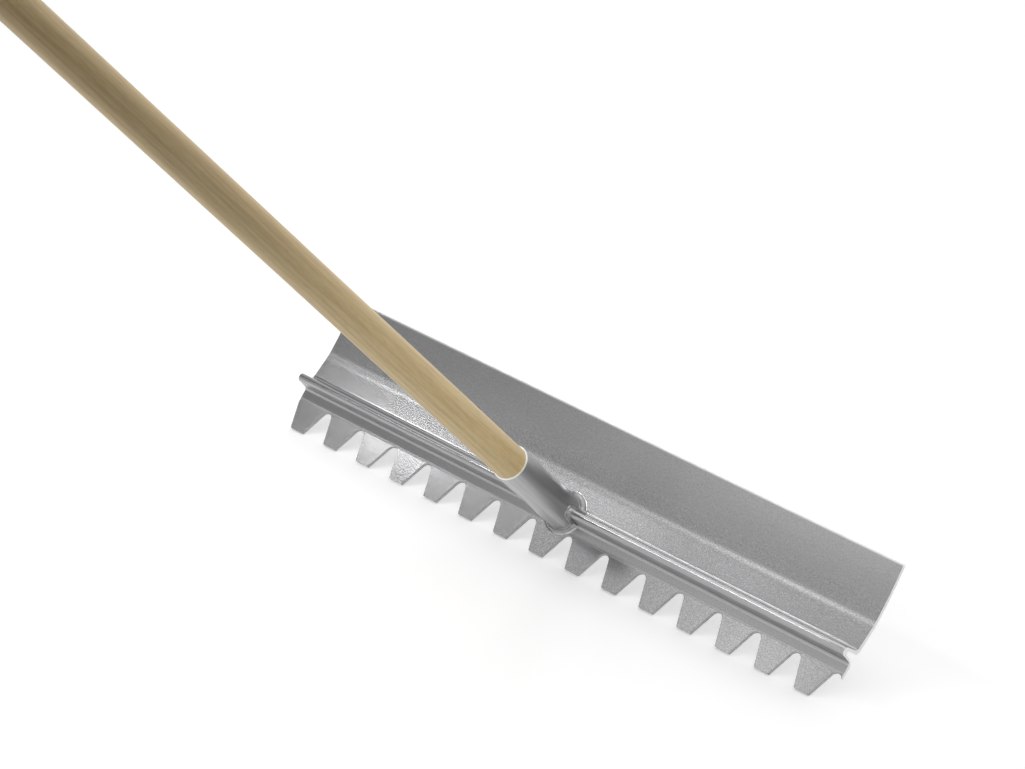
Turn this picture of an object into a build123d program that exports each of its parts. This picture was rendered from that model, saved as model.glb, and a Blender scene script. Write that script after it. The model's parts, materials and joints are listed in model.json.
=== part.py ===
from build123d import *
import math
import os

# Rake head: one aluminium extrusion, in millimetres and degrees
HEAD_LENGTH = 600.0
FLANGE_SHEET = 3.95
RIDGE_HEIGHT = 39.4
RIDGE_REACH = 15.8
BEAD_RADIUS = 3.55
GROOVE_RADIUS = 2.0
GROOVE_DEPTH = 14.1
GROOVE_LOWER_SLOPE = 5.0
GROOVE_UPPER_SLOPE = 9.0
GROOVE_LIP_RADIUS = 7.0
RIDGE_UNDER_WALL = 1.6
RIDGE_TOP_SLOPE = 13.0
RIDGE_FOOT_RADIUS = 2.8
BLADE_FOOT_SHEET = 3.7
BLADE_FOOT_RADIUS = 2.6
BLADE_HEEL_RADIUS = 4.5
BLADE_SHEET = 2.9
BEND_HEIGHT = 68.5
BEND_ANGLE = 6.0
BEND_RADIUS = 60.0
BLADE_CURVE_RADIUS = 300.0
BLADE_TOP = 119.4
LIP_RADIUS = 0.8

# Teeth punched into the flange, which thins towards a crease above the teeth
TOOTH_PITCH = 40.0
TOOTH_TIP = 14.5
TOOTH_HEIGHT = 24.8
TOOTH_SHEET = 2.5
CREASE_HEIGHT = 25.0
CREASE_RADIUS = 10.0
GAP_RADIUS = 5.25
FIRST_TIP = 8.0
TIP_CORNER_RADIUS = 0.8
PUNCH_ROLL = 0.35
PUNCH_ROLL_ANGLE = 55.0

# Socket tube, coped over the ridge
SOCKET_DIAMETER = 30.0
SOCKET_WALL = 1.5
SOCKET_MOUTH = 96.5
RIM_CHAMFER = 0.5
COPE_GAP = 0.15

# Weld seam round the socket's foot, wide on the flange and narrow on the ridge's crest
WELD_HEIGHT = 3.2
WELD_FOOT = 4.6
WELD_NECK = 1.6
WELD_SEAT = 0.05

# Wooden pole, with a turned-down end in the socket
POLE_DIAMETER = 28.0
POLE_LENGTH = 1500.0
TENON_END_GAP = 7.0
TENON_GAP = 0.15
TENON_CHAMFER = 2.0
SHOULDER_RADIUS = 0.6
POLE_END_RADIUS = 9.0

# Screw that keeps the pole in the socket
SCREW_BELOW_MOUTH = 32.0
SCREW_DIAMETER = 4.0
SCREW_LENGTH = 20.0
SCREW_POINT = 4.0
SCREW_HEAD_DIAMETER = 8.0
SCREW_HEAD_HEIGHT = 2.6
SCREW_HEAD_RADIUS = 1.4
RECESS_LENGTH = 4.4
RECESS_WIDTH = 1.0
RECESS_DEPTH = 1.3
SCREW_GAP = 0.1

# Working pose: how far the pole leans above the floor, with the tooth tips on the floor
POLE_LEAN = 49.1

# Sizes that follow from the ones above
SOCKET_RADIUS = SOCKET_DIAMETER / 2
BORE_RADIUS = SOCKET_RADIUS - SOCKET_WALL
TENON_RADIUS = BORE_RADIUS - TENON_GAP
POLE_RADIUS = POLE_DIAMETER / 2
SCREW_RADIUS = SCREW_DIAMETER / 2
SCREW_STATION = SOCKET_MOUTH - SCREW_BELOW_MOUTH
OVERRUN = 2.0

# The tool frame: x along the head, y up the blade from the tooth tips, z along the pole
LEAN = math.radians(POLE_LEAN)
TOOL = Plane(origin=(0, 0, 0), x_dir=(1, 0, 0), z_dir=(0, -math.cos(LEAN), math.sin(LEAN)))

# The head's section has its own x along the pole and its y up the blade
SECTION = Plane(origin=(0, 0, 0), x_dir=(0, 0, 1), z_dir=(-1, 0, 0))


def polar(centre, radius, degrees):
    angle = math.radians(degrees)
    return (centre[0] + radius * math.cos(angle), centre[1] + radius * math.sin(angle))


def slide(point, degrees, x):
    """The point at x on the line through a point at an angle."""
    return (x, point[1] + (x - point[0]) * math.tan(math.radians(degrees)))


def polygon(*points):
    return make_face(Polyline(*points, close=True))


def corner(sketch, point):
    return min(sketch.vertices(), key=lambda v: math.dist((v.X, v.Y), point))


def rounded(sketch, point, radius):
    return fillet(corner(sketch, point), radius)


def upper_panel():
    """The curved panel above the bend, as a band between two arcs of one centre."""
    start = BEND_ANGLE
    rise = (BLADE_TOP - BEND_HEIGHT) / BLADE_CURVE_RADIUS
    end = math.degrees(math.asin(math.sin(math.radians(start)) + rise))
    centre = polar((0, BEND_HEIGHT), BLADE_CURVE_RADIUS, -start)
    turns = [180 - start, 180 - (start + end) / 2, 180 - end]
    back = [polar(centre, BLADE_CURVE_RADIUS, turn) for turn in turns]
    front = [polar(centre, BLADE_CURVE_RADIUS - BLADE_SHEET, turn) for turn in turns]
    edges = [
        ThreePointArc(*back),
        Line(back[2], front[2]),
        ThreePointArc(*reversed(front)),
        Line(front[0], back[0]),
    ]
    return make_face(edges), front[0], back[2], front[2]


def head_sections():
    """The head's section with its groove, and the same section with the groove filled."""
    bead = (RIDGE_REACH, RIDGE_HEIGHT)
    groove = (GROOVE_DEPTH - GROOVE_RADIUS, RIDGE_HEIGHT)

    # The ridge's under side runs along the groove, one wall below it
    under = polar(groove, GROOVE_RADIUS + RIDGE_UNDER_WALL, GROOVE_LOWER_SLOPE - 90)
    under_root = slide(under, GROOVE_LOWER_SLOPE, FLANGE_SHEET)
    under_bead = slide(under, GROOVE_LOWER_SLOPE, RIDGE_REACH)

    # The ridge's top leaves the bead at a tangent
    top_bead = polar(bead, BEAD_RADIUS, 90 - RIDGE_TOP_SLOPE)
    top_root = slide(top_bead, -RIDGE_TOP_SLOPE, BLADE_FOOT_SHEET)

    crease = (TOOTH_SHEET, CREASE_HEIGHT)
    panel, bend_front, lip_back, lip_front = upper_panel()
    body = polygon(
        (0, -OVERRUN),
        (TOOTH_SHEET, -OVERRUN),
        crease,
        under_root,
        under_bead,
        bead,
        top_bead,
        top_root,
        bend_front,
        (0, BEND_HEIGHT),
    )
    filled = body + panel + Pos(*bead) * Circle(BEAD_RADIUS)
    filled = rounded(filled, crease, CREASE_RADIUS)
    filled = rounded(filled, under_root, RIDGE_FOOT_RADIUS)
    filled = rounded(filled, top_root, BLADE_FOOT_RADIUS)
    filled = rounded(filled, bend_front, BEND_RADIUS)
    filled = rounded(filled, lip_back, LIP_RADIUS)
    filled = rounded(filled, lip_front, LIP_RADIUS)

    low_wall = polar(groove, GROOVE_RADIUS, GROOVE_LOWER_SLOPE - 90)
    top_wall = polar(groove, GROOVE_RADIUS, 90 - GROOVE_UPPER_SLOPE)
    mouth_low = slide(low_wall, GROOVE_LOWER_SLOPE, -OVERRUN)
    mouth_top = slide(top_wall, -GROOVE_UPPER_SLOPE, -OVERRUN)
    hollow = polygon(groove, low_wall, mouth_low, mouth_top, top_wall)
    section = filled - hollow - Pos(*groove) * Circle(GROOVE_RADIUS)
    section = rounded(section, slide(low_wall, GROOVE_LOWER_SLOPE, 0), GROOVE_LIP_RADIUS)
    section = rounded(section, slide(top_wall, -GROOVE_UPPER_SLOPE, 0), BLADE_HEEL_RADIUS)
    return section, filled


def tooth_gap():
    """The round-topped wedge between two teeth, and the gap with the tooth corners rounded."""
    half = (TOOTH_PITCH - TOOTH_TIP) / 2
    centre = (0, TOOTH_HEIGHT - GAP_RADIUS)
    flank = math.degrees(math.acos(GAP_RADIUS / math.dist(centre, (half, 0))))
    lean = flank - math.degrees(math.atan2(centre[1], half))
    right = polar(centre, GAP_RADIUS, lean)
    left = (-right[0], right[1])
    foot = half + 2 * OVERRUN * math.tan(math.radians(lean))
    edges = [
        ThreePointArc(right, (0, TOOTH_HEIGHT), left),
        Line(left, (-foot, -2 * OVERRUN)),
        Line((-foot, -2 * OVERRUN), (foot, -2 * OVERRUN)),
        Line((foot, -2 * OVERRUN), right),
    ]
    wedge = make_face(edges)
    gap = wedge + Pos(0, -OVERRUN) * Rectangle(TOOTH_PITCH, 2 * OVERRUN)
    gap = rounded(gap, (half, 0), TIP_CORNER_RADIUS)
    gap = rounded(gap, (-half, 0), TIP_CORNER_RADIUS)
    return wedge, gap


def bar(section, length):
    return extrude(SECTION * section, amount=length / 2, both=True)


def tube(radius, low, high):
    """A solid round bar on the pole's axis, between two stations."""
    round_bar = Cylinder(radius, high - low, align=(Align.CENTER, Align.CENTER, Align.MIN))
    return Pos(0, RIDGE_HEIGHT, low) * round_bar


def rake_head(section):
    head = bar(section, HEAD_LENGTH)
    first_gap = FIRST_TIP + TOOTH_TIP / 2 - TOOTH_PITCH / 2 - HEAD_LENGTH / 2
    wedge, outline = tooth_gap()
    gap = extrude(Pos(0, 0, -OVERRUN) * outline, amount=FLANGE_SHEET + 2 * OVERRUN)
    gap += extrude(Pos(0, 0, TOOTH_SHEET - PUNCH_ROLL) * wedge, amount=OVERRUN, taper=-PUNCH_ROLL_ANGLE)
    count = math.ceil((HEAD_LENGTH / 2 - first_gap) / TOOTH_PITCH + 0.5)
    return head - [Pos(first_gap + k * TOOTH_PITCH, 0, 0) * gap for k in range(count)]


def on_screw_axis(part):
    """Turn a part from the z axis to the screw's axis, with its zero on the socket's left side."""
    return Pos(-SOCKET_RADIUS, RIDGE_HEIGHT, SCREW_STATION) * Rot(0, -90, 0) * part


def screw_hole(depth):
    """The round space round the screw, from outside the socket inwards."""
    radius = SCREW_RADIUS + SCREW_GAP
    hole = Cylinder(radius, depth + OVERRUN, align=(Align.CENTER, Align.CENTER, Align.MAX))
    return on_screw_axis(Pos(0, 0, OVERRUN) * hole)


def handle_socket(filled):
    socket = tube(SOCKET_RADIUS, 0, SOCKET_MOUTH)
    socket = chamfer(socket.edges().sort_by(Axis.Z)[-1], RIM_CHAMFER)
    socket -= tube(BORE_RADIUS, -OVERRUN, SOCKET_MOUTH + OVERRUN)
    socket -= bar(offset(filled, COPE_GAP), 2 * SOCKET_DIAMETER)
    socket -= screw_hole(SOCKET_WALL + OVERRUN)
    return socket.solids().sort_by(SortBy.VOLUME)[-1]


def socket_weld(filled):
    """The metal within the weld's height of the head's front, inside a cone round the tube."""
    top = RIDGE_REACH + BEAD_RADIUS + WELD_HEIGHT
    foot = SOCKET_RADIUS + WELD_FOOT
    cone = Cone(foot, SOCKET_RADIUS + WELD_NECK, top, align=(Align.CENTER, Align.CENTER, Align.MIN))
    seam = bar(offset(filled, WELD_HEIGHT), 2 * foot) & (Pos(0, RIDGE_HEIGHT, 0) * cone)
    seam -= bar(offset(filled, WELD_SEAT), 4 * foot)
    return seam - tube(SOCKET_RADIUS + WELD_SEAT, -OVERRUN, SOCKET_MOUTH)


def handle():
    low = RIDGE_REACH + BEAD_RADIUS + TENON_END_GAP
    high = low + POLE_LENGTH
    half = polygon(
        (0, low),
        (TENON_RADIUS, low),
        (TENON_RADIUS, SOCKET_MOUTH),
        (POLE_RADIUS, SOCKET_MOUTH),
        (POLE_RADIUS, high),
        (0, high),
    )
    half = chamfer(corner(half, (TENON_RADIUS, low)), TENON_CHAMFER)
    half = rounded(half, (POLE_RADIUS, SOCKET_MOUTH), SHOULDER_RADIUS)
    half = rounded(half, (POLE_RADIUS, high), POLE_END_RADIUS)
    pole = Pos(0, RIDGE_HEIGHT, 0) * revolve(Plane.XZ * half, Axis.Z)
    return pole - screw_hole(SCREW_LENGTH + OVERRUN)


def handle_screw():
    half = polygon(
        (0, SCREW_HEAD_HEIGHT),
        (SCREW_HEAD_DIAMETER / 2, SCREW_HEAD_HEIGHT),
        (SCREW_HEAD_DIAMETER / 2, 0),
        (SCREW_RADIUS, 0),
        (SCREW_RADIUS, SCREW_POINT - SCREW_LENGTH),
        (0, -SCREW_LENGTH),
    )
    half = rounded(half, (SCREW_HEAD_DIAMETER / 2, SCREW_HEAD_HEIGHT), SCREW_HEAD_RADIUS)
    slot = Box(RECESS_LENGTH, RECESS_WIDTH, 2 * RECESS_DEPTH)
    recess = Pos(0, 0, SCREW_HEAD_HEIGHT) * (slot + Rot(0, 0, 90) * slot)
    return on_screw_axis(revolve(Plane.XZ * half, Axis.Z) - recess)


def main():
    section, filled = head_sections()
    parts = {
        "rake_head": rake_head(section),
        "handle_socket": handle_socket(filled),
        "socket_weld": socket_weld(filled),
        "handle": handle(),
        "handle_screw": handle_screw(),
    }
    os.makedirs("parts", exist_ok=True)
    for name, part in parts.items():
        export_step(TOOL * part, f"parts/{name}.step")


main()
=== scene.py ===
import bpy
import json
import math
import numpy as np
from mathutils import Matrix, Vector, noise
from mathutils.bvhtree import BVHTree


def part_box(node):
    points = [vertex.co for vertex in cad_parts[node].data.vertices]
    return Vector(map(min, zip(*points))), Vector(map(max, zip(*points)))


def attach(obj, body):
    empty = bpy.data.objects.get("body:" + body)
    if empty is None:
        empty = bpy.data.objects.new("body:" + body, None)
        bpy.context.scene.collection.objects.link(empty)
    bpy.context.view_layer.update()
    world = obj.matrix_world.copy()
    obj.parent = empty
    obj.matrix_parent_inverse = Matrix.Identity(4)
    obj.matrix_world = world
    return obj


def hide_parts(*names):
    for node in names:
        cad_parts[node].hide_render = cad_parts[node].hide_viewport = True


# Camera: fitted to the photograph, in metres and degrees, with lens and sensor in millimetres
CAMERA_TARGET = Vector((-0.0612, 0.0298, 0.1191))
CAMERA_AZIMUTH = 45.377
CAMERA_ELEVATION = 28.450
CAMERA_DISTANCE = 3.1845
LENS = 142.27
SENSOR_WIDTH = 36.0
CAMERA_CLIP = (0.1, 100.0)

# Studio: brightness by degrees round the head's length, from the operator's horizon over the top
SWEEP = [
    (0, 0.75), (15, 0.65), (30, 0.55), (43, 0.43), (49, 0.5), (52.5, 0.92), (56, 0.6), (59.5, 0.46),
    (63, 0.46), (66, 0.45), (70, 0.33), (78, 0.26), (88, 0.5), (105, 0.9), (125, 0.97), (145, 1.15),
    (180, 1.05),
]

# Studio: a factor on that by the sine of the turn towards the head's right end
SIDE = [
    (-1.0, 0.6), (-0.75, 0.45), (-0.67, 0.52), (-0.645, 0.72), (-0.625, 0.95), (-0.6, 1.22),
    (-0.57, 1.35), (-0.4, 1.3), (-0.2, 1.0), (0.2, 1.0), (0.6, 1.3), (0.8, 1.05), (1.0, 1.0),
]

# Soft boxes along the head: place along it, turn round it in degrees, length, width, brightness
BOX_DISTANCE = 0.775
SOFT_BOXES = {
    "key": (-0.81, 64.3, 0.19, 0.03, 5.5),
    "fill": (-0.57, 67.2, 0.20, 0.05, 0.8),
    "strip": (-0.45, 77.7, 0.50, 0.06, 9.0),
    "edge": (-0.86, 54.0, 0.26, 0.02, 2.4),
    "teeth": (-0.31, 59.0, 0.18, 0.03, 1.1),
    "top": (-0.30, 30.0, 0.50, 0.26, 0.95),
}

# Dark card beside the pole's upper part: distance from the pole, stretch along it, width, tone
CARD_DISTANCE = 0.25
CARD_STRETCH = (0.38, 1.15)
CARD_WIDTH = 0.46
CARD_TONE = 0.1

# Floor: size, tone, roughness, and the glow that makes it white to the camera and in reflections
FLOOR_SIZE = 60.0
FLOOR_TONE = 0.95
FLOOR_ROUGHNESS = 0.9
FLOOR_GLOW = 0.28

# Weld round the socket's foot, in metres: the ball that rolls round it, its toe and its lumps
BALL_ABOVE = 0.0055
BALL_BELOW = 0.0040
WELD_TOE = 0.00012
WELD_LUMP = 0.0005
LUMP_SIZE = 0.0014

# Weld: its root inside the tube and the head, and the height that the head is felt from, in metres
WELD_ROOT = 0.0005
RAY_START = 0.1

# Weld: the share of its width that its rim thins over, and its mesh
WELD_FADE = 0.3
WELD_TURNS = 540
WELD_COLUMNS = 16

# Broken edges of the metal pieces, in metres, how sharp an edge has to be, and their shading
HEAD_EDGE = 0.0005
SOCKET_EDGE = 0.0002
EDGE_STEPS = 2
EDGE_ANGLE = math.radians(35)
MERGE_DISTANCE = 0.000001
SHADE_WEIGHT = 100

# Teeth bent forwards a little by use: lean in degrees by the tooth's place in the row
TOOTH_PITCH = 0.040
FIRST_TOOTH_SIDE = -0.30475
CREASE_HEIGHT = 0.025
TOOTH_LEANS = [(0, 0.0), (1, 0.1), (2, 1.65), (3, 1.3), (4, 0.7), (6, 0.1), (9, 0.3), (14, 0.0)]

# Heights and bands up the blade, in metres, and how far they fade
RIDGE_HEIGHT = 0.0394
BEND_HEIGHT = 0.0685
BEND_FADE = 0.02
WORN_HIGHLIGHT_EDGE = 0.0026
RUBBED_BAND = (0.0255, 0.0490)
BAND_FADE = 0.001
WAVY_BAND = (0.0250, 0.0370)
WAVY_FADE = 0.003
CREASE_BAND = (0.0242, 0.0275)
CREASE_FILL = 0.00018

# Materials: scales to the metre along the tool's axes, ranges from setting in to full, bumps in metres
NOISE_RANGE = (0.3, 0.7)

# Head: grain with pits, and die lines
GRAIN_SCALE = (900, 900, 900)
GRAIN_TONES = ((0.41, 0.41, 0.415), (0.59, 0.59, 0.595))
GRAIN_BUMP = 0.000035
PIT_SCALE = (1100, 1100, 1100)
PIT_RANGE = (0.6, 0.68)
PIT_SHARE = 0.5
PIT_TONE = (0.28, 0.28, 0.28)
DIE_SCALE = (3, 900, 900)
DIE_RANGE = (0.35, 0.65)
DIE_SHARE = 0.1
DIE_TONE = (0.42, 0.42, 0.425)
DIE_BUMP = 0.000004

# Head: sheared edges, sawn ends, the worn top edge with its painted highlight, and waves along the
# flange
SHEARED_RANGE = (0.25, 0.5)
SHEARED_SCALE = (900, 900, 120)
SHEARED_TONES = ((0.45, 0.45, 0.455), (0.66, 0.66, 0.665))
SAWN_RANGE = (0.95, 0.99)
SAWN_SHARE = 0.6
SAWN_TONE = (0.8, 0.8, 0.81)
WORN_AND_HIGHLIGHT_TONE = (0.85, 0.85, 0.86)
WAVE_SCALE = (1.5, 220, 0)
WAVE_BUMP = 0.00007

# Head: the rubbed ridge with what is left of its grain, and painted shade on the under sides above and
# below the ridge
RUBBED_SHARE = 0.7
RUBBED_TONE = (0.5, 0.5, 0.505)
RUBBED_GRAIN = 0.12
UNDERSIDE_SHADE_RANGE = (-0.04, -0.3)
UNDERSIDE_SHADE_ABOVE = 0.46
UNDERSIDE_SHADE_BELOW = 0.3
UNDERSIDE_SHADE_TONE = (0.22, 0.22, 0.22)

# Head: roughness, and what the upper panel, the rubbed ridge, the under sides and the sheared edges
# add to it
GLOSS_SCALE = (9, 14, 14)
HEAD_ROUGHNESS = (0.15, 0.19)
UPPER_ADDS = 0.12
RUBBED_ADDS = -0.08
UNDERSIDE_ADDS = 0.28
SHEARED_ADDS = 0.2

# Socket: drawn lines, smudges and the sawn rim
DRAWN_SCALE = (1500, 1500, 12)
DRAWN_TONES = ((0.45, 0.45, 0.457), (0.53, 0.53, 0.535))
DRAWN_BUMP = 0.000006
SMUDGE_SCALE = (60, 60, 25)
SMUDGE_RANGE = (0.45, 0.75)
SMUDGE_SHARE = 0.35
SMUDGE_TONE = (0.38, 0.38, 0.385)
SOCKET_ROUGHNESS = (0.34, 0.42)
RIM_RANGE = (0.4, 0.6)
RIM_SCALE = (1800, 1800, 1800)
RIM_TONE = (0.95, 0.95, 0.95)
RIM_BUMP = 0.00006
RIM_ADDS = 0.05

# Weld metal: patches of smut, under sides darkened as painted shade, and grit
SMUT_SCALE = (250, 250, 250)
SMUT_RANGE = (0.35, 0.65)
SMUT_TONES = ((0.36, 0.36, 0.36), (0.48, 0.48, 0.485))
WELD_SHADE_RANGE = (-0.15, -0.6)
WELD_SHADE_SHARE = 0.6
WELD_SHADE_TONE = (0.2, 0.2, 0.2)
WELD_ROUGHNESS = (0.3, 0.22)
GRIT_SCALE = (1500, 1500, 1500)
GRIT_BUMP = 0.00002

# Wood: year rings from a heart beside the pole, in metres, with fibres and broad stripes
RINGS = {"Scale": 60.0, "Distortion": 6.0, "Detail": 3.0, "Detail Scale": 1.5}
RING_STRETCH = (1, 1, 0.05)
RING_HEART = (0.012, 0.03, 0)
RING_SHARE = 0.08
FIBRE_SCALE = (500, 500, 25)
FIBRE_SHARE = 0.5
FIBRE_BUMP = 0.00004
STRIPE_SCALE = (70, 70, 1.5)
STRIPE_SHARE = 0.42
WOOD_RANGE = (0.3, 0.5, 0.7)
WOOD_TONES = ((0.452, 0.308, 0.135), (0.586, 0.436, 0.217), (0.708, 0.57, 0.313))

# Wood: pores, the stretch darkened by hands and by painted shade, in metres along the pole, and the
# sheen
PORE_SCALE = (2600, 2600, 120)
PORE_RANGE = (0.6, 0.72)
PORE_SHARE = 0.3
PORE_TONE = (0.26, 0.18, 0.1)
PORE_BUMP = 0.00003
HANDLED_SHADE_RANGE = (0.1, 0.8)
HANDLED_SHADE_SHARE = 0.15
HANDLED_SHADE_TONE = (0.66, 0.62, 0.57)
WOOD_ROUGHNESS = (0.38, 0.52)
WOOD_SPECULAR = 0.45

# Screw: grime and turned rings
GRIME_SCALE = (500, 500, 500)
GRIME_RANGE = (0.35, 0.6)
GRIME_TONES = ((0.38, 0.37, 0.36), (0.6, 0.6, 0.61))
SCREW_ROUGHNESS = (0.42, 0.24)
TURNED_SCALE = (2500, 300, 300)
TURNED_BUMP = 0.00001

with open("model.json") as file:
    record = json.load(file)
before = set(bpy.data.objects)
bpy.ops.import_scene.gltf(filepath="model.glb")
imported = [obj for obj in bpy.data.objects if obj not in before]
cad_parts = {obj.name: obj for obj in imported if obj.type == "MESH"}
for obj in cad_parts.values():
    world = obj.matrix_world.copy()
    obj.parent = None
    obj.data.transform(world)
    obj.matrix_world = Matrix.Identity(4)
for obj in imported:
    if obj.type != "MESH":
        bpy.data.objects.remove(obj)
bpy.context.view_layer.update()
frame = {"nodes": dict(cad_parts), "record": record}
nodes = frame["nodes"]

# The tool's own directions: along the head, along the pole, and up the blade
grip = next(mount for mount in frame["record"]["mounts"] if mount["name"] == "grip")
ALONG_HEAD = Vector((1, 0, 0))
ALONG_POLE = Vector(grip["axis"])
UP_BLADE = ALONG_POLE.cross(ALONG_HEAD)
AXIS_HEIGHT = Vector(grip["pos_m"]).dot(UP_BLADE)
BLADE_TOP = max(vertex.co.dot(UP_BLADE) for vertex in nodes["rake_head"].data.vertices)
LEAN = math.atan2(ALONG_POLE.z, -ALONG_POLE.y)


def direction(azimuth, elevation):
    """The unit vector towards a place round the object; azimuth 0 is the operator's side."""
    a = math.radians(azimuth)
    e = math.radians(elevation)
    return Vector((math.sin(a) * math.cos(e), -math.cos(a) * math.cos(e), math.sin(e)))


def new_object(name, vertices, faces):
    mesh = bpy.data.meshes.new(name)
    mesh.from_pydata(vertices, [], faces)
    mesh.update()
    thing = bpy.data.objects.new(name, mesh)
    bpy.context.scene.collection.objects.link(thing)
    return thing


class Nodes:
    """A node tree, with short calls for the nodes that the materials share."""

    def __init__(self, tree):
        self.nodes = tree.nodes
        self.links = tree.links

    def link(self, source, target):
        """Join a socket to an input, or set the input to a plain value."""
        if hasattr(source, "is_output"):
            self.links.new(source, target)
        else:
            target.default_value = source

    def math(self, operation, a, b=0.0, c=0.0):
        node = self.nodes.new("ShaderNodeMath")
        node.operation = operation
        for value, socket in zip((a, b, c), node.inputs):
            self.link(value, socket)
        return node.outputs[0]

    def place(self):
        return self.nodes.new("ShaderNodeTexCoord").outputs["Object"]

    def normal(self):
        return self.nodes.new("ShaderNodeTexCoord").outputs["Normal"]

    def tool_space(self):
        """Object coordinates turned to the tool: along the head, up from the pole, along the pole."""
        turn = self.nodes.new("ShaderNodeMapping")
        turn.inputs["Rotation"].default_value = (LEAN - math.pi / 2, 0, 0)
        turn.inputs["Location"].default_value = (0, -AXIS_HEIGHT, 0)
        self.links.new(self.place(), turn.inputs["Vector"])
        return turn.outputs[0]

    def stretch(self, space, scale, location=(0, 0, 0)):
        node = self.nodes.new("ShaderNodeMapping")
        node.inputs["Scale"].default_value = scale
        node.inputs["Location"].default_value = location
        self.links.new(space, node.inputs["Vector"])
        return node.outputs[0]

    def noise(self, space, scale, detail=2.0, roughness=0.5):
        node = self.nodes.new("ShaderNodeTexNoise")
        node.inputs["Scale"].default_value = 1.0
        node.inputs["Detail"].default_value = detail
        node.inputs["Roughness"].default_value = roughness
        self.links.new(self.stretch(space, scale), node.inputs["Vector"])
        return node.outputs["Fac"]

    def remap(self, value, low, high, to_low=0.0, to_high=1.0, kind="LINEAR"):
        node = self.nodes.new("ShaderNodeMapRange")
        node.interpolation_type = kind
        ends = {"From Min": low, "From Max": high, "To Min": to_low, "To Max": to_high}
        for name, number in ends.items():
            node.inputs[name].default_value = number
        self.links.new(value, node.inputs["Value"])
        return node.outputs[0]

    def curve(self, value, points):
        node = self.nodes.new("ShaderNodeFloatCurve")
        line = node.mapping.curves[0].points
        while len(line) < len(points):
            line.new(0.5, 0.5)
        for point, spot in zip(line, points):
            point.location = spot
            point.handle_type = "AUTO_CLAMPED"
        node.mapping.update()
        self.links.new(value, node.inputs["Value"])
        return node.outputs[0]

    def ramp(self, value, places, tones):
        node = self.nodes.new("ShaderNodeValToRGB")
        elements = node.color_ramp.elements
        while len(elements) < len(places):
            elements.new(0.5)
        for element, place, tone in zip(elements, places, tones):
            element.position = place
            element.color = (*tone, 1.0)
        self.links.new(value, node.inputs[0])
        return node.outputs["Color"]

    def mix(self, amount, a, b, blend="MIX"):
        node = self.nodes.new("ShaderNodeMix")
        node.data_type = "RGBA"
        node.blend_type = blend
        self.link(amount, node.inputs[0])
        for value, socket in ((a, node.inputs[6]), (b, node.inputs[7])):
            self.link(value if hasattr(value, "is_output") else (*value, 1.0), socket)
        return node.outputs[2]

    def bump(self, height, distance, normal=None):
        node = self.nodes.new("ShaderNodeBump")
        node.inputs["Strength"].default_value = 1.0
        node.inputs["Distance"].default_value = distance
        self.links.new(height, node.inputs["Height"])
        if normal:
            self.links.new(normal, node.inputs["Normal"])
        return node.outputs[0]

    def dot(self, vector, axis):
        node = self.nodes.new("ShaderNodeVectorMath")
        node.operation = "DOT_PRODUCT"
        node.inputs[1].default_value = axis
        self.links.new(vector, node.inputs[0])
        return node.outputs["Value"]

    def facing(self, axis):
        """How far the surface faces along an axis of the object, either way."""
        return self.math("ABSOLUTE", self.dot(self.normal(), axis))

    def band(self, value, ends, fade):
        """One between the two ends, and nothing beyond them."""
        middle = (ends[0] + ends[1]) / 2
        half = (ends[1] - ends[0]) / 2
        apart = self.math("ABSOLUTE", self.math("SUBTRACT", value, middle))
        return self.remap(apart, half, half - fade)


def new_material(name):
    material = bpy.data.materials.new(name)
    material.use_nodes = True
    tree = Nodes(material.node_tree)
    return material, tree, tree.nodes["Principled BSDF"].inputs


def make_camera():
    data = bpy.data.cameras.new("camera")
    data.lens = LENS
    data.sensor_width = SENSOR_WIDTH
    data.clip_start, data.clip_end = CAMERA_CLIP
    camera = bpy.data.objects.new("camera", data)
    bpy.context.scene.collection.objects.link(camera)
    back = direction(CAMERA_AZIMUTH, CAMERA_ELEVATION)
    camera.location = CAMERA_TARGET + back * CAMERA_DISTANCE
    camera.rotation_euler = (-back).to_track_quat("-Z", "Y").to_euler()
    bpy.context.scene.camera = camera


def make_world():
    """A soft studio with long lights along the head, dimmer towards its left."""
    world = bpy.data.worlds.new("studio")
    world.use_nodes = True
    tree = Nodes(world.node_tree)
    place = tree.nodes.new("ShaderNodeTexCoord")
    parts = tree.nodes.new("ShaderNodeSeparateXYZ")
    tree.links.new(place.outputs["Generated"], parts.inputs[0])
    x, y, z = parts.outputs
    turn = tree.math("ARCTAN2", z, tree.math("MULTIPLY", y, -1.0))
    top = max(level for turned, level in SWEEP)
    side_top = max(level for sine, level in SIDE)
    sweep_points = [(turned / 180, level / top) for turned, level in SWEEP]
    sweep = tree.curve(tree.math("DIVIDE", turn, math.pi), sweep_points)
    side_points = [((sine + 1) / 2, level / side_top) for sine, level in SIDE]
    side = tree.curve(tree.remap(x, -1.0, 1.0), side_points)
    light = tree.nodes["Background"].inputs
    tree.links.new(tree.math("MULTIPLY", sweep, side), light["Color"])
    light["Strength"].default_value = top * side_top
    bpy.context.scene.world = world


def make_soft_box(name, side, turn, length, width, level):
    """A plain soft box that lies along the head and faces it."""
    data = bpy.data.lights.new(name, "AREA")
    data.shape = "RECTANGLE"
    data.size = length
    data.size_y = width
    data.energy = level * math.pi * length * width
    box = bpy.data.objects.new(name, data)
    back = direction(0, turn)
    turned = Matrix((ALONG_HEAD, back.cross(ALONG_HEAD), back)).transposed()
    box.matrix_world = Matrix.Translation(ALONG_HEAD * side + back * BOX_DISTANCE) @ turned.to_4x4()
    box.visible_camera = False
    bpy.context.scene.collection.objects.link(box)


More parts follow.
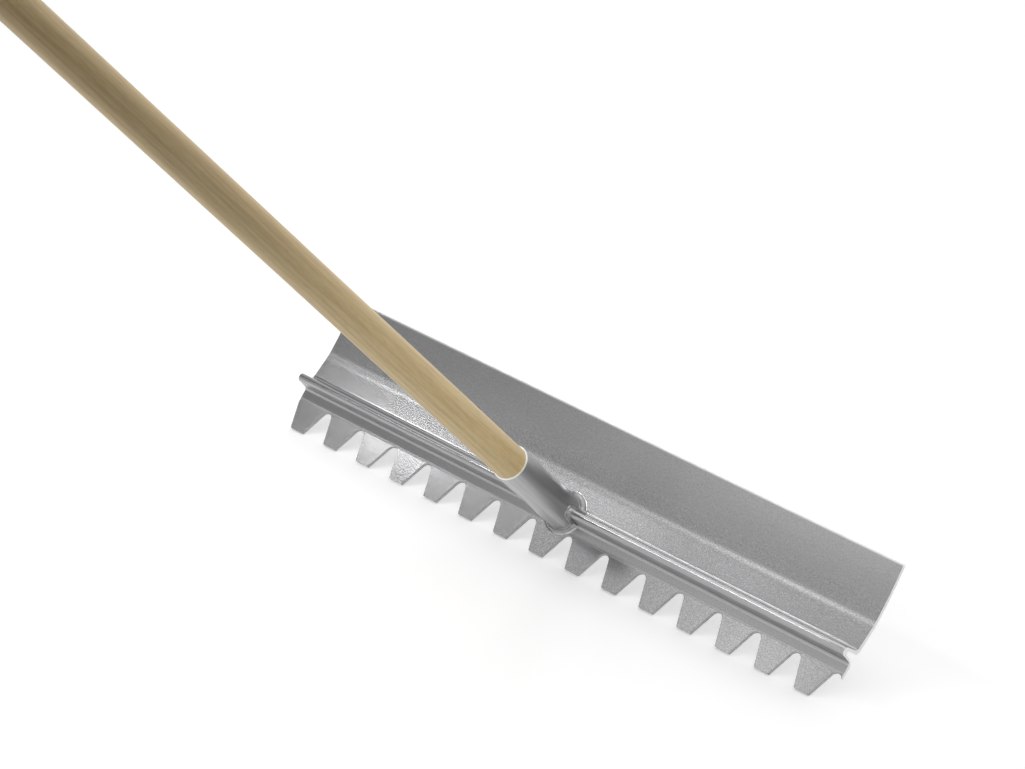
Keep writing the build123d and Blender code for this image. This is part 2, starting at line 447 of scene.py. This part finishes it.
def make_floor():
    half = FLOOR_SIZE / 2
    corners = [(-half, -half, 0), (half, -half, 0), (half, half, 0), (-half, half, 0)]
    floor = new_object("floor", corners, [(0, 1, 2, 3)])
    material, tree, shader = new_material("floor_white")
    shader["Base Color"].default_value = (FLOOR_TONE, FLOOR_TONE, FLOOR_TONE, 1.0)
    shader["Roughness"].default_value = FLOOR_ROUGHNESS
    shader["Specular IOR Level"].default_value = 0.0
    shader["Emission Color"].default_value = (1.0, 1.0, 1.0, 1.0)
    path = tree.nodes.new("ShaderNodeLightPath").outputs
    seen = tree.math("MAXIMUM", path["Is Camera Ray"], path["Is Glossy Ray"])
    seen = tree.math("MAXIMUM", seen, path["Is Transmission Ray"])
    tree.link(tree.math("MULTIPLY", seen, FLOOR_GLOW), shader["Emission Strength"])
    floor.data.materials.append(material)


def make_card():
    """A dark card beside the pole's upper part, out of view, so that the pole's edges stand out."""
    view = direction(CAMERA_AZIMUTH, CAMERA_ELEVATION)
    away = (view - ALONG_POLE * view.dot(ALONG_POLE)).normalized()
    middle = UP_BLADE * AXIS_HEIGHT + away * CARD_DISTANCE
    side = ALONG_POLE.cross(away) * CARD_WIDTH / 2
    low, high = (middle + ALONG_POLE * place for place in CARD_STRETCH)
    card = new_object("card", [low - side, low + side, high + side, high - side], [(0, 1, 2, 3)])
    material, _, shader = new_material("card_dark")
    shader["Base Color"].default_value = (CARD_TONE, CARD_TONE, CARD_TONE, 1.0)
    shader["Roughness"].default_value = 1.0
    card.data.materials.append(material)
    card.visible_camera = False


def head_metal():
    """Extruded aluminium: fine grain with small pits, faint die lines, rough sheared edges, dull under
    sides darkened by painted shade, a ridge rubbed smooth, and a top edge worn bright and painted
    brighter as its highlight."""
    material, tree, shader = new_material("head_metal")
    space = tree.tool_space()
    height = tree.dot(tree.place(), UP_BLADE)
    grain = tree.noise(space, GRAIN_SCALE, roughness=0.6)
    pits = tree.noise(space, PIT_SCALE, detail=1.0)
    lines = tree.noise(space, DIE_SCALE, detail=1.0)
    clouds = tree.noise(space, GLOSS_SCALE, detail=3.0)
    streaks = tree.noise(space, SHEARED_SCALE)
    sheared = tree.remap(tree.facing(ALONG_HEAD), *SHEARED_RANGE)
    sawn = tree.remap(tree.facing(ALONG_HEAD), *SAWN_RANGE)
    tone = tree.ramp(grain, NOISE_RANGE, GRAIN_TONES)
    tone = tree.mix(tree.remap(pits, *PIT_RANGE, 0.0, PIT_SHARE), tone, PIT_TONE)
    tone = tree.mix(tree.remap(lines, *DIE_RANGE, 0.0, DIE_SHARE), tone, DIE_TONE)
    rubbed = tree.band(height, RUBBED_BAND, BAND_FADE)
    tone = tree.mix(tree.math("MULTIPLY", rubbed, RUBBED_SHARE), tone, RUBBED_TONE)
    cut = tree.ramp(streaks, NOISE_RANGE, SHEARED_TONES)
    tone = tree.mix(sheared, tone, cut)
    tone = tree.mix(tree.math("MULTIPLY", sawn, SAWN_SHARE), tone, SAWN_TONE)
    # Painted shade: faces turned down the blade are darkened, more above the ridge than below it
    leaning = tree.remap(tree.dot(tree.normal(), UP_BLADE), *UNDERSIDE_SHADE_RANGE)
    underside_shade = tree.remap(height, RIDGE_HEIGHT, RIDGE_HEIGHT - BAND_FADE, UNDERSIDE_SHADE_ABOVE, UNDERSIDE_SHADE_BELOW)
    tone = tree.mix(tree.math("MULTIPLY", leaning, underside_shade), tone, UNDERSIDE_SHADE_TONE)
    # Painted highlight: the top edge is lighter, partly as wear and partly standing in for the
    # highlight on its rounded lip
    worn = tree.remap(height, BLADE_TOP - WORN_HIGHLIGHT_EDGE, BLADE_TOP - WORN_HIGHLIGHT_EDGE / 2)
    tree.link(tree.mix(worn, tone, WORN_AND_HIGHLIGHT_TONE), shader["Base Color"])
    shader["Metallic"].default_value = 1.0
    gloss = tree.remap(clouds, *NOISE_RANGE, *HEAD_ROUGHNESS)
    upper = tree.remap(height, BEND_HEIGHT, BEND_HEIGHT + BEND_FADE, 0.0, UPPER_ADDS)
    gloss = tree.math("ADD", gloss, upper)
    gloss = tree.math("MULTIPLY_ADD", rubbed, RUBBED_ADDS, gloss)
    dull = tree.remap(height, RIDGE_HEIGHT, RIDGE_HEIGHT - BAND_FADE, 0.0, UNDERSIDE_ADDS)
    gloss = tree.math("MULTIPLY_ADD", leaning, dull, gloss)
    tree.link(tree.math("MULTIPLY_ADD", sheared, SHEARED_ADDS, gloss), shader["Roughness"])
    normal = tree.bump(lines, DIE_BUMP)
    waves = tree.noise(space, WAVE_SCALE, detail=0.0)
    wavy = tree.band(height, WAVY_BAND, WAVY_FADE)
    waves = tree.math("MULTIPLY", tree.math("SUBTRACT", waves, 0.5), wavy)
    normal = tree.bump(waves, WAVE_BUMP, normal)
    hollow = tree.remap(height, *CREASE_BAND, CREASE_FILL, 0.0, "SMOOTHSTEP")
    front = tree.math("SIGN", tree.dot(tree.normal(), ALONG_POLE))
    normal = tree.bump(tree.math("MULTIPLY", hollow, front), 1.0, normal)
    rough = tree.math("MULTIPLY", grain, tree.remap(rubbed, 0.0, 1.0, 1.0, RUBBED_GRAIN))
    tree.link(tree.bump(rough, GRAIN_BUMP, normal), shader["Normal"])
    return material


def socket_metal():
    """Drawn tube: fine lines along its length, smudges, and a bright sawn rim."""
    material, tree, shader = new_material("socket_metal")
    space = tree.tool_space()
    lines = tree.noise(space, DRAWN_SCALE)
    clouds = tree.noise(space, SMUDGE_SCALE, detail=3.0)
    grit = tree.noise(space, RIM_SCALE, detail=1.0)
    rim = tree.remap(tree.facing(ALONG_POLE), *RIM_RANGE)
    tone = tree.ramp(lines, NOISE_RANGE, DRAWN_TONES)
    tone = tree.mix(tree.remap(clouds, *SMUDGE_RANGE, 0.0, SMUDGE_SHARE), tone, SMUDGE_TONE)
    tree.link(tree.mix(rim, tone, RIM_TONE), shader["Base Color"])
    shader["Metallic"].default_value = 1.0
    worn = tree.remap(clouds, *NOISE_RANGE, *SOCKET_ROUGHNESS)
    tree.link(tree.math("MULTIPLY_ADD", rim, RIM_ADDS, worn), shader["Roughness"])
    normal = tree.bump(lines, DRAWN_BUMP)
    sawn = tree.math("MULTIPLY", grit, rim)
    tree.link(tree.bump(sawn, RIM_BUMP, normal), shader["Normal"])
    return material


def weld_metal():
    """Weld metal: grey smut in patches, fine grit, and under sides darkened as painted shade."""
    material, tree, shader = new_material("weld_metal")
    space = tree.tool_space()
    grit = tree.noise(space, GRIT_SCALE)
    clouds = tree.noise(space, SMUT_SCALE, detail=3.0)
    tone = tree.ramp(clouds, SMUT_RANGE, SMUT_TONES)
    # Painted shade: faces turned down the blade are darkened
    weld_shade = tree.remap(tree.dot(tree.normal(), UP_BLADE), *WELD_SHADE_RANGE, 0.0, WELD_SHADE_SHARE)
    tree.link(tree.mix(weld_shade, tone, WELD_SHADE_TONE), shader["Base Color"])
    shader["Metallic"].default_value = 1.0
    tree.link(tree.remap(clouds, *NOISE_RANGE, *WELD_ROUGHNESS), shader["Roughness"])
    tree.link(tree.bump(grit, GRIT_BUMP), shader["Normal"])
    return material


def pole_wood():
    """Turned hardwood: faint year rings from a heart beside the pole, fibres, pores, and a grip darker
    up the pole, partly from hands and partly painted shade.
    """
    material, tree, shader = new_material("pole_wood_grain")
    space = tree.tool_space()
    rings = tree.nodes.new("ShaderNodeTexWave")
    rings.wave_type = "RINGS"
    rings.rings_direction = "Z"
    for name, number in RINGS.items():
        rings.inputs[name].default_value = number
    tree.links.new(tree.stretch(space, RING_STRETCH, RING_HEART), rings.inputs["Vector"])
    fibres = tree.noise(space, FIBRE_SCALE, detail=4.0, roughness=0.65)
    pores = tree.noise(space, PORE_SCALE, detail=1.0)
    stripes = tree.noise(space, STRIPE_SCALE)
    tone = tree.math("MULTIPLY", fibres, FIBRE_SHARE)
    tone = tree.math("MULTIPLY_ADD", rings.outputs["Fac"], RING_SHARE, tone)
    tone = tree.math("MULTIPLY_ADD", stripes, STRIPE_SHARE, tone)
    wood = tree.ramp(tone, WOOD_RANGE, WOOD_TONES)
    wood = tree.mix(tree.remap(pores, *PORE_RANGE, 0.0, PORE_SHARE), wood, PORE_TONE)
    parts = tree.nodes.new("ShaderNodeSeparateXYZ")
    tree.links.new(space, parts.inputs[0])
    # Painted shade: the pole darkens further up, standing in for shade on its upper part as well as
    # for handling
    handled_shade = tree.remap(parts.outputs["Z"], *HANDLED_SHADE_RANGE, 0.0, HANDLED_SHADE_SHARE)
    tree.link(tree.mix(handled_shade, wood, HANDLED_SHADE_TONE, "MULTIPLY"), shader["Base Color"])
    tree.link(tree.remap(fibres, *NOISE_RANGE, *WOOD_ROUGHNESS), shader["Roughness"])
    shader["Specular IOR Level"].default_value = WOOD_SPECULAR
    normal = tree.bump(fibres, FIBRE_BUMP)
    tree.link(tree.bump(pores, PORE_BUMP, normal), shader["Normal"])
    return material


def screw_metal():
    """Plated steel with turned rings on the head and a little grime."""
    material, tree, shader = new_material("screw_metal")
    space = tree.tool_space()
    turned = tree.noise(space, TURNED_SCALE)
    grime = tree.noise(space, GRIME_SCALE, detail=3.0)
    tree.link(tree.ramp(grime, GRIME_RANGE, GRIME_TONES), shader["Base Color"])
    shader["Metallic"].default_value = 1.0
    tree.link(tree.remap(grime, *NOISE_RANGE, *SCREW_ROUGHNESS), shader["Roughness"])
    tree.link(tree.bump(turned, TURNED_BUMP), shader["Normal"])
    return material


def dress(node, material):
    nodes[node].data.materials.clear()
    nodes[node].data.materials.append(material)


def bend_teeth():
    """Lean the bent teeth forwards below the crease, with geometry nodes on the CAD mesh."""
    group = bpy.data.node_groups.new("bent_teeth", "GeometryNodeTree")
    group.interface.new_socket("Geometry", in_out="INPUT", socket_type="NodeSocketGeometry")
    group.interface.new_socket("Geometry", in_out="OUTPUT", socket_type="NodeSocketGeometry")
    tree = Nodes(group)
    place = tree.nodes.new("GeometryNodeInputPosition").outputs[0]
    below = tree.math("MAXIMUM", tree.math("SUBTRACT", CREASE_HEIGHT, tree.dot(place, UP_BLADE)), 0.0)
    along = tree.math("SUBTRACT", tree.dot(place, ALONG_HEAD), FIRST_TOOTH_SIDE)
    index = tree.math("FLOOR", tree.math("DIVIDE", along, TOOTH_PITCH))
    last = TOOTH_LEANS[-1][0]
    most = max(lean for tooth, lean in TOOTH_LEANS)
    leans = [(tooth / last, lean / most) for tooth, lean in TOOTH_LEANS]
    share = tree.curve(tree.math("DIVIDE", index, last), leans)
    bend = tree.math("MULTIPLY", share, math.radians(most))
    push = tree.nodes.new("ShaderNodeVectorMath")
    push.operation = "SCALE"
    push.inputs[0].default_value = ALONG_POLE
    tree.link(tree.math("MULTIPLY", below, tree.math("TANGENT", bend)), push.inputs["Scale"])
    move = tree.nodes.new("GeometryNodeSetPosition")
    tree.link(tree.nodes.new("NodeGroupInput").outputs[0], move.inputs["Geometry"])
    tree.link(push.outputs[0], move.inputs["Offset"])
    tree.link(move.outputs[0], tree.nodes.new("NodeGroupOutput").inputs[0])
    nodes["rake_head"].modifiers.new("bent_teeth", "NODES").node_group = group


def break_edges(node, width):
    """Round the sharp edges of a metal piece a little, as sawn and punched metal is."""
    weld = nodes[node].modifiers.new("weld", "WELD")
    weld.merge_threshold = MERGE_DISTANCE
    bevel = nodes[node].modifiers.new("bevel", "BEVEL")
    bevel.width = width
    bevel.segments = EDGE_STEPS
    bevel.limit_method = "ANGLE"
    bevel.angle_limit = EDGE_ANGLE
    shade = nodes[node].modifiers.new("shade", "WEIGHTED_NORMAL")
    shade.weight = SHADE_WEIGHT


def weld_bead():
    """The fillet that a ball leaves as it rolls round the tube's foot, lumpy over the ridge."""
    mesh = nodes["rake_head"].data
    head = BVHTree.FromPolygons([v.co for v in mesh.vertices], [p.vertices for p in mesh.polygons])
    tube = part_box("handle_socket")[1][0]
    turns = np.linspace(0, 2 * math.pi, WELD_TURNS, endpoint=False)
    shares = np.linspace(0, 2, 2 * WELD_COLUMNS + 1)
    balls = BALL_BELOW + (BALL_ABOVE - BALL_BELOW) * (1 + np.sin(turns)) / 2
    outs = tube + np.outer(balls, shares)
    across = outs * np.cos(turns)[:, None]
    up = outs * np.sin(turns)[:, None] + AXIS_HEIGHT
    ground = np.empty(outs.shape)
    for spot, x in np.ndenumerate(across):
        start = ALONG_HEAD * x + UP_BLADE * up[spot] + ALONG_POLE * RAY_START
        hit = head.ray_cast(start, -ALONG_POLE)[0]
        ground[spot] = hit.dot(ALONG_POLE) if hit else 0.0
    top = np.full(outs.shape, np.inf)
    for k, ball in enumerate(balls):
        room = ball ** 2 - (across - across[k, WELD_COLUMNS]) ** 2 - (up - up[k, WELD_COLUMNS]) ** 2
        depth = np.sqrt(np.maximum(room, 0))
        centre = (ground + depth)[room > 0].max()
        top = np.where(room > 0, np.minimum(top, centre - depth), top)
        top[k, 0] = centre
    fade = np.clip((1 - shares) / WELD_FADE, 0, 1)
    crest = ground[:, 0].max()
    floor = ground[:, 0].min()
    vertices = []
    for k in range(WELD_TURNS):
        climb = ((ground[k, 0] - floor) / (crest - floor)) ** 2
        inside = ALONG_HEAD * across[k, 0] + UP_BLADE * (up[k, 0] - AXIS_HEIGHT)
        inside = inside * (1 - WELD_ROOT / tube) + UP_BLADE * AXIS_HEIGHT
        vertices.append(inside + ALONG_POLE * (ground[k, 0] - WELD_ROOT))
        vertices.append(inside + ALONG_POLE * top[k, 0])
        for j in range(WELD_COLUMNS + 1):
            place = ALONG_HEAD * across[k, j] + UP_BLADE * up[k, j] + ALONG_POLE * top[k, j]
            lump = noise.noise(place / LUMP_SIZE) * WELD_LUMP * climb
            thick = (top[k, j] - ground[k, j] + lump) * fade[j]
            toe = WELD_TOE if j < WELD_COLUMNS else -WELD_TOE
            vertices.append(place + ALONG_POLE * (ground[k, j] - top[k, j] + max(thick, 0.0) + toe))
    width = WELD_COLUMNS + 3
    faces = []
    for k in range(WELD_TURNS):
        here = k * width
        there = (k + 1) % WELD_TURNS * width
        for j in range(width):
            step = (j + 1) % width
            faces.append((here + j, here + step, there + step, there + j))
    bead = new_object("weld_bead", vertices, faces)
    bead.data.polygons.foreach_set("use_smooth", [True] * len(faces))
    bead.data.materials.append(weld_metal())
    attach(bead, "root")
    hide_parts("socket_weld")


make_camera()
make_world()
for box_name, box in SOFT_BOXES.items():
    make_soft_box(box_name, *box)
make_floor()
make_card()
dress("rake_head", head_metal())
dress("handle_socket", socket_metal())
dress("handle", pole_wood())
# The photographed blade shows no reflection of the pole
nodes["handle"].visible_glossy = False
dress("handle_screw", screw_metal())
bend_teeth()
break_edges("rake_head", HEAD_EDGE)
break_edges("handle_socket", SOCKET_EDGE)
weld_bead()
bpy.context.scene.view_settings.view_transform = "Standard"
